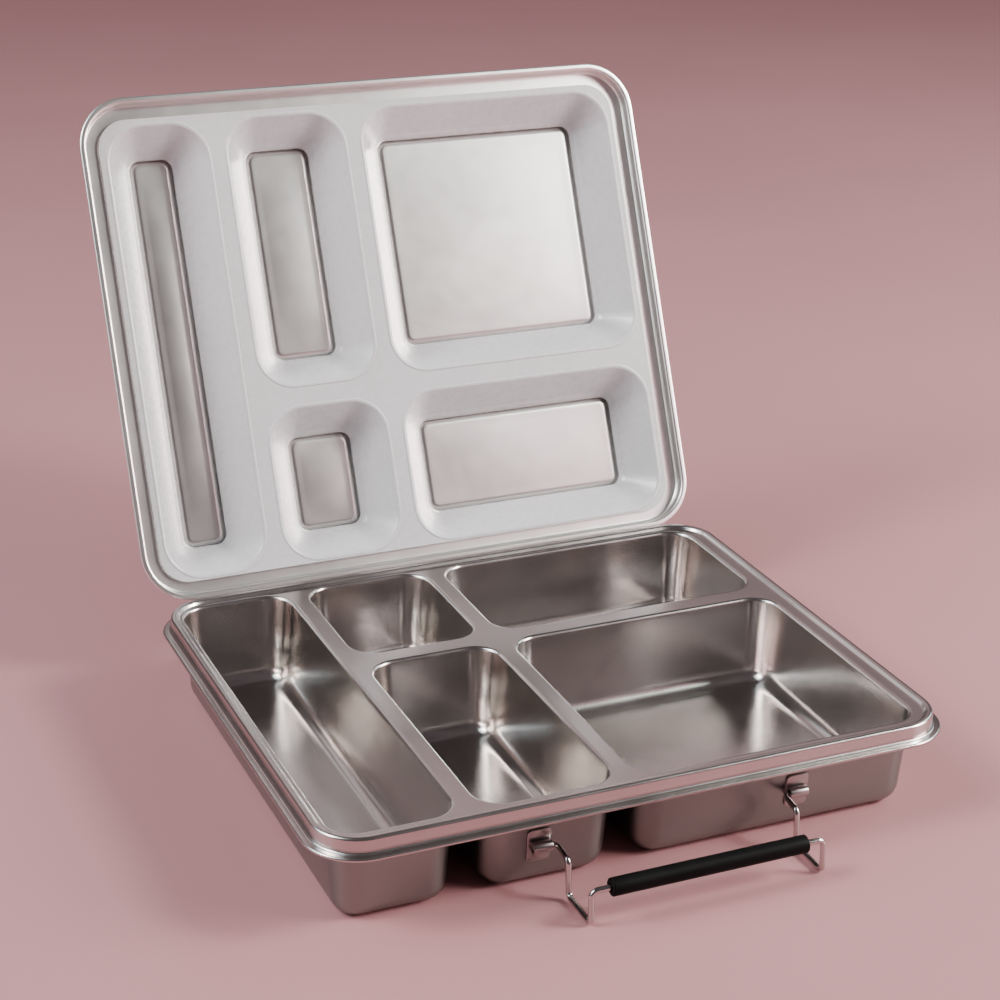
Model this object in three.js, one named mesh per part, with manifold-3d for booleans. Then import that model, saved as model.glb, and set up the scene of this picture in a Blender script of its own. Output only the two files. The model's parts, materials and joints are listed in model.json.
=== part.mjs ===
// Five-compartment pressed-steel lunch box with a hinged, silicone-lined lid and a wire bail.
// Millimetres, +Z up, +X across the width, -Y towards the bail. The box stands on its wells at z = 0,
// with the origin under the middle of the whole object as it lies open: lid up, bail down in front.
import * as THREE from "three";
import { mergeVertices } from "three/addons/utils/BufferGeometryUtils.js";
import Module from "manifold-3d";

const wasm = await Module();
wasm.setup();

// ---- Driving dimensions ------------------------------------------------------------------------
// The tray frame: x = y = 0 at the middle of the raised ridge, z = 0 on top of the flat webs.
const SHEET = 0.8; // both pressings
const GAP = 0.3; // clearance between pieces that touch
const RIDGE = { width: 243.5, depth: 201.5, radius: 17.5 }; // outside of the tray's raised ridge
const RIM_REACH = 3.25; // rolled edges, outside the ridge
const FLANGE_TOP = -4.4; // tray flange
const ROLL_RADIUS = 0.75;

// Where the flat webs end and the hollows begin: the outer limits, and the webs between the hollows.
const WELL_LIMITS = { left: -117.4, right: 114.2, front: -94.5, back: 96.7 };
const POCKET_LIMITS = { left: -114.6, right: 114.6, front: -93.8, back: 96.2 };
const WEBS = { longLeft: -69.6, longRight: -64.0, midLeft: -9.4, midRight: -4.0, front: 22.8, back: 29.6 };

// A hollow is a lip, a leaning wall, a foot and a flat floor. Lean is measured from the vertical.
// Corners tighten by the inset, less cornerGrowth for every millimetre of it.
const WELL = { lip: 1.5, lean: 4.5, foot: 6.5, depth: 35.8, corner: 12.0, cornerGrowth: 0 };
const POCKET = { lip: 3.4, lean: 35.5, foot: 1.0, depth: 16.8, corner: 16.5, cornerGrowth: 0.1 };
// The steel floor of a lid pocket is a raised panel, with a groove round it for the liner's end.
const PANEL = { groove: 17.5, floor: 16.4, slopeStart: 13.3, slopeEnd: 15.4, outward: 0.4 };
const CORNER_STEPS = 3;
const LIP_STEPS = 2;
const FOOT_STEPS = 3;

// The lid, as it lies when closed: a silicone liner GAP above the webs, and the steel above the liner.
const LINER = { thickness: 1.2, margin: 5.3, backMargin: 4.2, endDepth: 15.4 }; // margins inside the ridge
const LID_SKIRT = { inner: 0.6, outer: 1.4 };

const HINGE = { y: 106.25, z: -4.3, openAngle: 114 }; // open angle in degrees
const LEAF = { centre: 92.9, width: 19, thickness: 0.8, drop: 22, tab: 11 };
const KNUCKLE = { radius: 1.9, bore: 1.1, pin: 0.8, middle: 7 };

const BAIL = { centre: 10.3, halfSpan: 45.4, wireRadius: 1.1, bend: 2.4, pinEnd: 54.6 };
const PIVOT = { y: -94.75, z: -19.8 };
// One arm of the bail as it lies down, from the pivot to the cross bar: [forward, down].
const ARM = [[0, 0], [9.4, 1.35], [10.7, 15.0], [28.6, 15.7], [28.2, 3.0]];
const GRIP = { radius: 3.3, bore: 1.4, length: 76.4, chamfer: 0.4 };
const BRACKET = { inner: 47.1, outer: 56.1, top: -13.5, bottom: -26.5, plate: 0.8 };
const BARREL = { inner: 47.4, outer: 54.8, radius: 2.1, bore: 1.4 };

const STEEL = { color: 0xb9b2ae, roughness: 0.28, metalness: 1 };
const LID_STEEL = { color: 0xd2cac4, roughness: 0.42, metalness: 1 };
const WIRE_STEEL = { color: 0xc2bcb8, roughness: 0.2, metalness: 1 };
const SILICONE = { color: 0xd3d3da, roughness: 0.55, metalness: 0 };
const RUBBER = { color: 0x1c1d1f, roughness: 0.75, metalness: 0 };

// ---- Solids ------------------------------------------------------------------------------------
const radians = THREE.MathUtils.degToRad;

// A closed geometry as a solid that can be joined and cut.
function solidOf(geometry) {
  const bare = new THREE.BufferGeometry().setAttribute("position", geometry.getAttribute("position"));
  bare.setIndex(geometry.index);
  const merged = mergeVertices(bare, 1e-4);
  const triVerts = new Uint32Array(merged.index.array);
  return new wasm.Manifold(
    new wasm.Mesh({ numProp: 3, vertProperties: merged.getAttribute("position").array, triVerts }),
  );
}

function geometryOf(solid) {
  const { vertProperties, triVerts } = solid.getMesh();
  const indexed = new THREE.BufferGeometry();
  indexed.setAttribute("position", new THREE.BufferAttribute(new Float32Array(vertProperties), 3));
  indexed.setIndex(new THREE.BufferAttribute(new Uint32Array(triVerts), 1));
  const geometry = indexed.toNonIndexed();
  geometry.computeVertexNormals();
  return geometry;
}

function joined(geometries) {
  return geometries.map(solidOf).reduce((sum, solid) => sum.add(solid));
}

// A rectangle with round corners, drawn anticlockwise, moved in by inset on every side.
function outline(rect, radius, inset, steps) {
  const round = Math.max(radius - inset, 0.4);
  const right = rect.right - inset - round;
  const left = rect.left + inset + round;
  const back = rect.back - inset - round;
  const front = rect.front + inset + round;
  const corners = [[right, front, -1], [right, back, 0], [left, back, 1], [left, front, 2]];
  const points = [];
  for (const [x, y, quarter] of corners) {
    for (let i = 0; i <= steps; i++) {
      const angle = (quarter + i / steps) * (Math.PI / 2);
      points.push(new THREE.Vector2(x + round * Math.cos(angle), y + round * Math.sin(angle)));
    }
  }
  return points;
}

// A skin over a stack of outlines with equal point counts. A stack that rises ends in two flat caps;
// a closed stack returns to its first outline, like a picture frame.
function skin(stack, closed) {
  const count = stack[0].points.length;
  const positions = stack.flatMap(({ points, z }) => points.flatMap((p) => [p.x, p.y, z]));
  const index = [];
  const bands = closed ? stack.length : stack.length - 1;
  for (let band = 0; band < bands; band++) {
    const low = band * count;
    const high = ((band + 1) % stack.length) * count;
    for (let i = 0; i < count; i++) {
      const next = (i + 1) % count;
      index.push(low + i, low + next, high + next, low + i, high + next, high + i);
    }
  }
  if (!closed) {
    const top = (stack.length - 1) * count;
    for (let i = 1; i < count - 1; i++) {
      index.push(0, i + 1, i, top, top + i, top + i + 1);
    }
  }
  const geometry = new THREE.BufferGeometry();
  geometry.setAttribute("position", new THREE.Float32BufferAttribute(positions, 3));
  geometry.setIndex(index);
  return geometry;
}

// A sheet edge of constant section, [outwards, z] anticlockwise, carried round the ridge's outline.
const RIDGE_RECT = {
  left: -RIDGE.width / 2,
  right: RIDGE.width / 2,
  front: -RIDGE.depth / 2,
  back: RIDGE.depth / 2,
};
const RIM_STEPS = 5;
const WEB_EDGE = 4.8; // the flat webs end this far inside the ridge, where the rim takes over

function rim(section) {
  const round = (out) => outline(RIDGE_RECT, RIDGE.radius, -out, RIM_STEPS);
  const stack = section.map(([out, z]) => ({ points: round(out), z }));
  return skin(stack, true);
}

function plate(rect, inset, bottom, top) {
  const points = outline(rect, RIDGE.radius, inset, RIM_STEPS);
  return skin([{ points, z: bottom }, { points, z: top }], false);
}

// The five hollows, as rectangles between the outer limits and the webs.
function hollows(limits) {
  const { left, right, front, back } = limits;
  return [
    { left, right: WEBS.longLeft, front, back },
    { left: WEBS.longRight, right: WEBS.midLeft, front, back: WEBS.front },
    { left: WEBS.longRight, right: WEBS.midLeft, front: WEBS.back, back },
    { left: WEBS.midRight, right, front, back: WEBS.front },
    { left: WEBS.midRight, right, front: WEBS.back, back },
  ];
}

// The line of one face of a pressed hollow, as [inset, depth] pairs from its lip to its floor.
// behind is the distance from the hollow's visible face to this one, measured through the sheet.
function pressedFace(hollow, behind) {
  const lean = radians(hollow.lean);
  const face = [];
  const lipSweep = Math.PI / 2 - lean;
  for (let i = 0; i <= LIP_STEPS; i++) {
    const angle = (lipSweep * i) / LIP_STEPS;
    const reach = hollow.lip - behind;
    face.push([reach * Math.sin(angle), hollow.lip - reach * Math.cos(angle)]);
  }
  const { inset, depth } = footCentre(hollow);
  for (let i = 0; i <= FOOT_STEPS; i++) {
    const angle = lean + (lipSweep * i) / FOOT_STEPS;
    const reach = hollow.foot + behind;
    face.push([inset - reach * Math.cos(angle), depth + reach * Math.sin(angle)]);
  }
  return face;
}

// The centre of the arc between a hollow's wall and its floor.
function footCentre({ lip, lean, foot, depth }) {
  const angle = radians(lean);
  const wall = (depth - foot - lip + (lip + foot) * Math.sin(angle)) / Math.cos(angle);
  return { inset: (lip + foot) * Math.cos(angle) + wall * Math.sin(angle), depth: depth - foot };
}

// A solid block with the shape of one face of a hollow. It begins at depth start, above the lip.
function block(rect, hollow, face, start, toZ) {
  const stack = [[0, start], ...face].map(([inset, depth]) => ({
    points: outline(rect, hollow.corner + hollow.cornerGrowth * inset, inset, CORNER_STEPS),
    z: toZ(depth),
  }));
  if (stack[0].z > stack[1].z) stack.reverse();
  return skin(stack, false);
}

// A side view, [forward, up] from a point, pushed out along X between two planes.
function sidePlate(points, from, to) {
  const shape = new THREE.Shape(points.map(([y, z]) => new THREE.Vector2(y, z)));
  const geometry = new THREE.ExtrudeGeometry(shape, { depth: to - from, bevelEnabled: false });
  // Extrusion runs along +Z over an XY drawing; turn the drawing's axes into Y and Z.
  return geometry.applyMatrix4(
    new THREE.Matrix4().set(0, 0, 1, from, 1, 0, 0, 0, 0, 1, 0, 0, 0, 0, 0, 1),
  );
}

// A round bar along X.
function bar(radius, from, to, y, z, sides) {
  const geometry = new THREE.CylinderGeometry(radius, radius, to - from, sides);
  return geometry.rotateZ(Math.PI / 2).translate((from + to) / 2, y, z);
}

// ---- Tray --------------------------------------------------------------------------------------
function tray() {
  // Raised ridge, skirt, fillet, flange and rolled edge, then back along the underside.
  const roll = { out: RIM_REACH - ROLL_RADIUS, z: FLANGE_TOP - ROLL_RADIUS };
  const section = [
    [-5.0, -SHEET], [-4.0, -SHEET], [-3.3, -0.6], [-2.6, 0.3], [-1.9, 0.7], [-1.2, 0.65],
    [-0.8, 0.2], [-0.7, -3.5], [-0.2, -4.6], [0.9, FLANGE_TOP - SHEET], [roll.out - 0.9, FLANGE_TOP - SHEET],
    ...arcPoints(roll.out, roll.z, ROLL_RADIUS, -140, 90, 5),
    [1.1, FLANGE_TOP], [0.5, -4.15], [0.15, -3.4], [0, 0.2], [-0.2, 0.95], [-0.8, 1.4], [-1.6, 1.5],
    [-2.4, 1.25], [-3.1, 0.4], [-3.6, 0.0], [-5.0, 0.0],
  ];
  const deep = (depth) => -depth;
  const outside = hollows(WELL_LIMITS).map((rect) =>
    block(rect, WELL, pressedFace(WELL, SHEET), SHEET / 2, deep),
  );
  const inside = hollows(WELL_LIMITS).map((rect) => block(rect, WELL, pressedFace(WELL, 0), -1, deep));
  return joined([plate(RIDGE_RECT, WEB_EDGE, -SHEET, 0), rim(section), ...outside]).subtract(joined(inside));
}

function arcPoints(x, y, radius, from, to, steps) {
  return Array.from({ length: steps + 1 }, (_, i) => {
    const angle = radians(from + ((to - from) * i) / steps);
    return [x + radius * Math.cos(angle), y + radius * Math.sin(angle)];
  });
}

// ---- Lid, drawn closed -------------------------------------------------------------------------
const STEEL_UNDERSIDE = LINER.thickness + GAP; // depth of the lid's steel behind the liner's face
const LID_BOTTOM = GAP + STEEL_UNDERSIDE;
const LID_TOP = LID_BOTTOM + SHEET;
const liftZ = (depth) => GAP + depth;

function lidShell() {
  const roll = { out: RIM_REACH - ROLL_RADIUS, z: FLANGE_TOP + GAP + ROLL_RADIUS };
  const { inner, outer } = LID_SKIRT;
  const section = [
    [-5.0, LID_BOTTOM], [-0.5, LID_BOTTOM], [0.3, 1.5], [inner, 0.8], [inner, -2.6], [0.9, -3.4],
    [roll.out - 0.9, -3.9],
    ...arcPoints(roll.out, roll.z, ROLL_RADIUS, -100, 110, 5),
    [1.75, -2.5], [outer, -2.0], [outer, 1.2], [0.9, 2.1], [0.1, LID_TOP], [-5.0, LID_TOP],
  ];
  const outside = hollows(POCKET_LIMITS).map((rect) =>
    block(rect, POCKET, panelledFace(SHEET), STEEL_UNDERSIDE + SHEET / 2, liftZ),
  );
  const inside = hollows(POCKET_LIMITS).map((rect) =>
    block(rect, POCKET, panelledFace(0), 0, liftZ),
  );
  const web = plate(RIDGE_RECT, WEB_EDGE, LID_BOTTOM, LID_TOP);
  return joined([web, rim(section), ...outside]).subtract(joined(inside));
}

// The steel's face in a pocket, or the face a distance above it: wall, groove and raised floor panel.
function panelledFace(above) {
  const groove = PANEL.groove + above;
  const outward = above > 0 ? PANEL.outward : 0;
  return [
    ...wallTo(pressedFace(POCKET, STEEL_UNDERSIDE + above), groove),
    [PANEL.slopeStart + outward, groove],
    [PANEL.slopeEnd + outward, PANEL.floor + above],
  ];
}

// The liner follows the pockets' walls and stops short of their floors.
function lidSeal() {
  const { thickness, margin, backMargin, endDepth } = LINER;
  const rect = { ...RIDGE_RECT, back: RIDGE_RECT.back + margin - backMargin };
  const outside = hollows(POCKET_LIMITS).map((rect) =>
    block(rect, POCKET, wallTo(pressedFace(POCKET, thickness), endDepth), thickness / 2, liftZ),
  );
  const inside = hollows(POCKET_LIMITS).map((rect) =>
    block(rect, POCKET, wallTo(pressedFace(POCKET, 0), endDepth + 1), -1, liftZ),
  );
  return joined([plate(rect, margin, GAP, GAP + thickness), ...outside]).subtract(joined(inside));
}

// The part of a face from its lip to a depth on its straight wall.
function wallTo(face, depth) {
  const lipEnd = face[LIP_STEPS];
  const wallEnd = face[LIP_STEPS + 1];
  const share = (depth - lipEnd[1]) / (wallEnd[1] - lipEnd[1]);
  const inset = lipEnd[0] + share * (wallEnd[0] - lipEnd[0]);
  return [...face.slice(0, LIP_STEPS + 1), [inset, depth]];
}

// ---- Hinges ------------------------------------------------------------------------------------
const KNUCKLE_SIDES = 16;

// The y of the wells' outer wall behind (side 1) or in front (side -1) at a height on the wall.
function wallY(side, z) {
  const face = pressedFace(WELL, SHEET);
  const [lipInset, lipDepth] = face[LIP_STEPS];
  const inset = lipInset + (-z - lipDepth) * Math.tan(radians(WELL.lean));
  return side > 0 ? WELL_LIMITS.back - inset : WELL_LIMITS.front + inset;
}

// Welded on a well's back wall, bent back under the flange and rolled round the pin at both ends.
function hingeBaseLeaf(centre) {
  const strapTop = HINGE.z - KNUCKLE.radius;
  const strapBottom = strapTop - LEAF.thickness;
  const bottom = -LEAF.drop;
  const onWall = (z, away) => wallY(1, z) + GAP + away;
  const drawing = (end) => [
    [onWall(bottom, 0), bottom],
    [onWall(bottom, LEAF.thickness), bottom],
    [onWall(strapBottom, LEAF.thickness), strapBottom],
    [HINGE.y + end[0][0], strapBottom],
    ...end.map(([back, rise]) => [HINGE.y + back, strapTop + rise]),
    [onWall(strapTop, 0), strapTop],
  ];
  const half = LEAF.width / 2;
  const slot = KNUCKLE.middle / 2 + GAP;
  // [behind the pin, above the strap]: a plain end under the lid's knuckle, and elsewhere a weld under
  // the knuckle and an end that stands behind the pin, where the lid's leaf comes to rest on it.
  const slotEnd = [[-2.8, 0]];
  const stopEnd = [[1.1, 0], [0.4, 0.4], [-0.8, 0.4], [-1.6, 0]];
  const pieces = [sidePlate(drawing(slotEnd), centre - half, centre + half)];
  for (const [from, to] of [[-half, -slot], [slot, half]]) {
    pieces.push(sidePlate(drawing(stopEnd), centre + from, centre + to));
    pieces.push(bar(KNUCKLE.radius, centre + from, centre + to, HINGE.y, HINGE.z, KNUCKLE_SIDES));
  }
  return joined(pieces).subtract(pinHole(centre));
}

function pinHole(centre) {
  const { width } = LEAF;
  return solidOf(bar(KNUCKLE.bore, centre - width, centre + width, HINGE.y, HINGE.z, KNUCKLE_SIDES));
}

// Welded on the lid's back rim, bent down behind the flange and rolled round the middle of the pin.
function hingeLidLeaf(centre) {
  const tabBottom = LID_TOP + GAP;
  const tabTop = tabBottom + LEAF.thickness;
  const outer = HINGE.y + KNUCKLE.radius;
  const inner = outer - LEAF.thickness;
  const wideFrom = HINGE.z + KNUCKLE.radius + 0.5; // the full width stays above the tray's knuckles
  const drawing = (low) => [
    [inner, low],
    [outer, low],
    [outer, tabTop],
    [outer - LEAF.tab, tabTop],
    [outer - LEAF.tab, tabBottom],
    [inner, tabBottom],
  ];
  const half = LEAF.width / 2;
  const middle = KNUCKLE.middle / 2;
  return joined([
    sidePlate(drawing(wideFrom), centre - half, centre + half),
    sidePlate(drawing(HINGE.z), centre - middle, centre + middle),
    bar(KNUCKLE.radius, centre - middle, centre + middle, HINGE.y, HINGE.z, KNUCKLE_SIDES),
  ]).subtract(pinHole(centre));
}

// A plain pin with a peened head at each end.
function hingePin(centre) {
  const length = LEAF.width + 2 * GAP;
  const head = { radius: 1.3, thickness: 0.6 };
  const end = length / 2 + head.thickness;
  const profile = [
    [0, -end], [head.radius, -end], [head.radius, -length / 2], [KNUCKLE.pin, -length / 2],
    [KNUCKLE.pin, length / 2], [head.radius, length / 2], [head.radius, end], [0, end],
  ].map(([x, y]) => new THREE.Vector2(x, y));
  const geometry = new THREE.LatheGeometry(profile, KNUCKLE_SIDES);
  return solidOf(geometry.rotateZ(Math.PI / 2).translate(centre, HINGE.y, HINGE.z));
}

// ---- Bail --------------------------------------------------------------------------------------
// A wire route through corner points, with every corner bent to one radius.
class BentWire extends THREE.Curve {
  constructor(corners, bend, bendSteps) {
    super();
    this.stations = [corners[0]];
    for (let i = 1; i < corners.length - 1; i++) {
      const before = corners[i - 1].clone().sub(corners[i]).normalize();
      const after = corners[i + 1].clone().sub(corners[i]).normalize();
      const half = before.angleTo(after) / 2;
      const tangent = bend / Math.tan(half);
      const centre = before.clone().add(after).setLength(bend / Math.sin(half)).add(corners[i]);
      const from = before.multiplyScalar(tangent).add(corners[i]).sub(centre);
      const to = after.multiplyScalar(tangent).add(corners[i]).sub(centre);
      const axis = from.clone().cross(to).normalize();
      const sweep = from.angleTo(to);
      for (let k = 0; k <= bendSteps; k++) {
        this.stations.push(from.clone().applyAxisAngle(axis, (sweep * k) / bendSteps).add(centre));
      }
    }
    this.stations.push(corners.at(-1));
  }

  getPoint(t) {
    const place = t * (this.stations.length - 1);
    const low = Math.min(Math.floor(place), this.stations.length - 2);
    return this.stations[low].clone().lerp(this.stations[low + 1], place - low);
  }

  // Steps go from station to station, so straight stretches cost one step each.
  getPointAt(u) {
    return this.getPoint(u);
  }

  getTangentAt(u) {
    return this.getTangent(u);
  }
}

function bailWire() {
  const BEND_STEPS = 3;
  const SIDES = 8;
  const arm = (side) =>
    ARM.map(([forward, down]) => new THREE.Vector3(side * BAIL.halfSpan, -forward, -down));
  const pinEnd = (side) => new THREE.Vector3(side * BAIL.pinEnd, 0, 0);
  const corners = [pinEnd(-1), ...arm(-1), ...arm(1).reverse(), pinEnd(1)];
  const route = new BentWire(corners, BAIL.bend, BEND_STEPS);
  const circle = Array.from({ length: SIDES }, (_, i) => {
    const angle = (2 * Math.PI * i) / SIDES;
    return new THREE.Vector2(BAIL.wireRadius * Math.cos(angle), BAIL.wireRadius * Math.sin(angle));
  });
  const steps = route.stations.length - 1;
  const geometry = new THREE.ExtrudeGeometry(new THREE.Shape(circle), { steps, extrudePath: route });
  return solidOf(geometry.translate(BAIL.centre, PIVOT.y, PIVOT.z));
}

function gripSleeve() {
  const { radius, bore, length, chamfer } = GRIP;
  const end = length / 2;
  const profile = [
    [bore, -end], [radius - chamfer, -end], [radius, chamfer - end],
    [radius, end - chamfer], [radius - chamfer, end], [bore, end], [bore, -end],
  ].map(([x, y]) => new THREE.Vector2(x, y));
  const [forward, down] = ARM.at(-1);
  const geometry = new THREE.LatheGeometry(profile, 20);
  geometry.rotateZ(Math.PI / 2);
  return solidOf(geometry.translate(BAIL.centre, PIVOT.y - forward, PIVOT.z - down));
}

// A plate on a well's front wall with a barrel for the bail's pin across it.
function bailBracket(side) {
  const across = (distance) => BAIL.centre + side * distance;
  const span = ({ inner, outer }) => [across(inner), across(outer)].sort((a, b) => a - b);
  const [from, to] = span(BRACKET);
  const [barrelFrom, barrelTo] = span(BARREL);
  const { top, bottom } = BRACKET;
  const onWall = (z, away) => wallY(-1, z) - GAP - away;
  const drawing = [
    [onWall(bottom, BRACKET.plate), bottom],
    [onWall(bottom, 0), bottom],
    [onWall(top, 0), top],
    [onWall(top, BRACKET.plate), top],
  ];
  const barrel = bar(BARREL.radius, barrelFrom, barrelTo, PIVOT.y, PIVOT.z, KNUCKLE_SIDES);
  const bore = bar(BARREL.bore, from - 1, to + 1, PIVOT.y, PIVOT.z, KNUCKLE_SIDES);
  return joined([sidePlate(drawing, from, to), barrel]).subtract(solidOf(bore));
}

// ---- Assembly ----------------------------------------------------------------------------------
function piece(name, solid, material) {
  const mesh = new THREE.Mesh(geometryOf(solid), new THREE.MeshStandardMaterial(material));
  mesh.name = name;
  return mesh;
}

const base = new THREE.Group();
base.add(piece("base_tray", tray(), STEEL));

const lid = new THREE.Group();
lid.add(piece("lid_shell", lidShell(), LID_STEEL));
lid.add(piece("lid_seal", lidSeal(), SILICONE));

for (const [side, sign] of [["left", -1], ["right", 1]]) {
  const centre = sign * LEAF.centre;
  base.add(piece("hinge_base_leaf_" + side, hingeBaseLeaf(centre), WIRE_STEEL));
  base.add(piece("hinge_pin_" + side, hingePin(centre), WIRE_STEEL));
  base.add(piece("bail_bracket_" + side, bailBracket(sign), WIRE_STEEL));
  lid.add(piece("hinge_lid_leaf_" + side, hingeLidLeaf(centre), WIRE_STEEL));
}

const bail = new THREE.Group();
bail.add(piece("bail_wire", bailWire(), WIRE_STEEL));
bail.add(piece("grip_sleeve", gripSleeve(), RUBBER));

// The lid is drawn closed and swings up and back about the hinge pins until its leaves reach their stop.
lid.position.set(0, -HINGE.y, -HINGE.z);
const lidSwing = new THREE.Group();
lidSwing.add(lid);
lidSwing.position.set(0, HINGE.y, HINGE.z);
lidSwing.rotation.x = -radians(HINGE.openAngle);

const lunchBox = new THREE.Group();
lunchBox.add(base, lidSwing, bail);
const extent = new THREE.Box3().setFromObject(lunchBox, true);
const middle = extent.getCenter(new THREE.Vector3());
lunchBox.position.set(-middle.x, -middle.y, -extent.min.z);

export default lunchBox;
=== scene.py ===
"""A five-well pressed-steel lunch box, lid up and bail down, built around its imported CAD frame.

Sizes are in millimetres in the tray's own frame: x = y = 0 in the middle of the raised ridge, z = 0 on
the flat webs between the wells. The lid is drawn closed in that frame and swung open about its hinge.
"""
import json
import math

import bmesh
import bpy
import numpy as np
from mathutils import Matrix, Vector
from mathutils.geometry import tessellate_polygon


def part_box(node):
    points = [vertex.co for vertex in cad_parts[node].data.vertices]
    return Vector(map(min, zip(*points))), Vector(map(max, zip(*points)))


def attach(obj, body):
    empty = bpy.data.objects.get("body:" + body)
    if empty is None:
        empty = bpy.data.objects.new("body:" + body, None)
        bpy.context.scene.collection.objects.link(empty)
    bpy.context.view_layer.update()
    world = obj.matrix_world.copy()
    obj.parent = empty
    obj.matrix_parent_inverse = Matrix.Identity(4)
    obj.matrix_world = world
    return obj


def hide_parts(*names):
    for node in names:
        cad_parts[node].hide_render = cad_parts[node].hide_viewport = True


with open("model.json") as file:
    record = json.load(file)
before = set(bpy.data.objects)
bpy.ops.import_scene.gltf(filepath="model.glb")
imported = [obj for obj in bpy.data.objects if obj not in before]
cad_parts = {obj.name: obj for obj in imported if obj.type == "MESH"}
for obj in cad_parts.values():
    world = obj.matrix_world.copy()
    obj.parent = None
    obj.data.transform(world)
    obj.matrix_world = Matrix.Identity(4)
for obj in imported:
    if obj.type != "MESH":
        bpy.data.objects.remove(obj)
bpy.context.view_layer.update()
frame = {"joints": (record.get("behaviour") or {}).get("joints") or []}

MM = 0.001

# ---- Driving dimensions --------------------------------------------------------------------------
SHEET = 0.8
GAP = 0.3
RIDGE_HEIGHT = 1.5
RIDGE = {"left": -121.75, "right": 121.75, "front": -100.75, "back": 100.75}
RIDGE_RADIUS = 17.5
FLANGE_TOP = -4.4
ROLL = {"out": 2.5, "radius": 0.75}
WEB_START = -3.85  # the webs begin this far inside the ridge

WELL_LIMITS = {"left": -117.4, "right": 114.2, "front": -94.5, "back": 96.7}
POCKET_LIMITS = {"left": -114.6, "right": 114.6, "front": -93.8, "back": 96.2}
WEBS = {  # the edges of the flat webs that divide the hollows
    "long_left": -69.6, "long_right": -64.0,
    "mid_left": -9.4, "mid_right": -4.0,
    "front": 22.8, "back": 29.6,
}
WELL = {"lip": 1.5, "lean": 4.5, "foot": 6.5, "depth": 35.8, "corner": 12.0}
POCKET = {"lip": 3.4, "lean": 35.5, "foot": 1.0, "depth": 16.8, "corner": 16.5, "corner_growth": 0.1}
PANEL = {"groove": 17.5, "floor": 16.4, "slope_start": 13.3, "slope_end": 15.4}
BEAD = {"rise": 0.26, "start": -0.05, "radius": 1.5}

LINER = {"thickness": 1.2, "margin": 5.3, "back_margin": 4.2, "end_depth": 15.4, "swell": 0.5}
STEEL_UNDERSIDE = LINER["thickness"] + GAP
LID_BOTTOM = GAP + STEEL_UNDERSIDE
LID_TOP = LID_BOTTOM + SHEET

LEAF = {"centre": 92.9, "width": 19.0, "thickness": 0.8, "drop": 22.0, "tab": 11.0}
KNUCKLE = {"radius": 1.9, "bore": 1.1, "pin": 0.8, "middle": 7.0}
BAIL = {"half_span": 45.4, "wire": 1.1, "bend": 2.4, "pin_end": 54.6}
ARM = [(0, 0), (9.4, 1.35), (10.7, 15.0), (28.6, 15.7), (28.2, 3.0)]  # forward, down
GRIP = {"radius": 3.3, "bore": 1.4, "length": 76.4, "edge": 0.55}
BRACKET = {
    "inner": 47.1, "outer": 56.1, "top": -13.5, "bottom": -26.5,
    "plate": 0.8, "barrel": 2.1, "bore": 1.4,
}

# ---- Places, from the frame ----------------------------------------------------------------------
tray_low, tray_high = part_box("base_tray")
ORIGIN = Vector((
    (tray_low.x + tray_high.x) / 2,
    (tray_low.y + tray_high.y) / 2,
    tray_high.z - RIDGE_HEIGHT * MM,
))
JOINTS = {joint["name"]: joint for joint in frame["joints"]}
HINGE = (Vector(JOINTS["lid_hinge"]["pos_m"]) - ORIGIN) / MM
PIVOT = (Vector(JOINTS["bail_hinge"]["pos_m"]) - ORIGIN) / MM
OPEN_ANGLE = math.radians(JOINTS["lid_hinge"]["range_deg"][1])

BASE_PLACE = Matrix.Translation(ORIGIN) @ Matrix.Scale(MM, 4)
LID_PLACE = (
    BASE_PLACE
    @ Matrix.Translation(HINGE)
    @ Matrix.Rotation(-OPEN_ANGLE, 4, "X")
    @ Matrix.Translation(-HINGE)
)


# ---- Camera --------------------------------------------------------------------------------------
def make_camera():
    """Looks from the front left, a little above the lid's top, with a slight roll."""
    azimuth, elevation, roll = math.radians(-23.83), math.radians(22.48), 0.018
    target = Vector((0.0123, 0.0282, 0.0766))
    distance = 0.913
    back = Vector((
        math.sin(azimuth) * math.cos(elevation),
        -math.cos(azimuth) * math.cos(elevation),
        math.sin(elevation),
    ))
    across = Vector((0, 0, 1)).cross(back).normalized()
    up = back.cross(across)
    right = math.cos(roll) * across + math.sin(roll) * up
    top = -math.sin(roll) * across + math.cos(roll) * up
    data = bpy.data.cameras.new("camera")
    data.sensor_width = 36.0
    data.lens = 80.84
    camera = bpy.data.objects.new("camera", data)
    bpy.context.scene.collection.objects.link(camera)
    turn = Matrix((right, top, back)).transposed().to_4x4()
    camera.matrix_world = Matrix.Translation(target + distance * back) @ turn
    bpy.context.scene.camera = camera


# ---- Plane curves --------------------------------------------------------------------------------
def arc(x, y, radius, start, end, steps):
    """Points on an arc, from start to end in degrees."""
    angles = np.radians(np.linspace(start, end, steps + 1))
    return [(x + radius * math.cos(a), y + radius * math.sin(a)) for a in angles]


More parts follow.
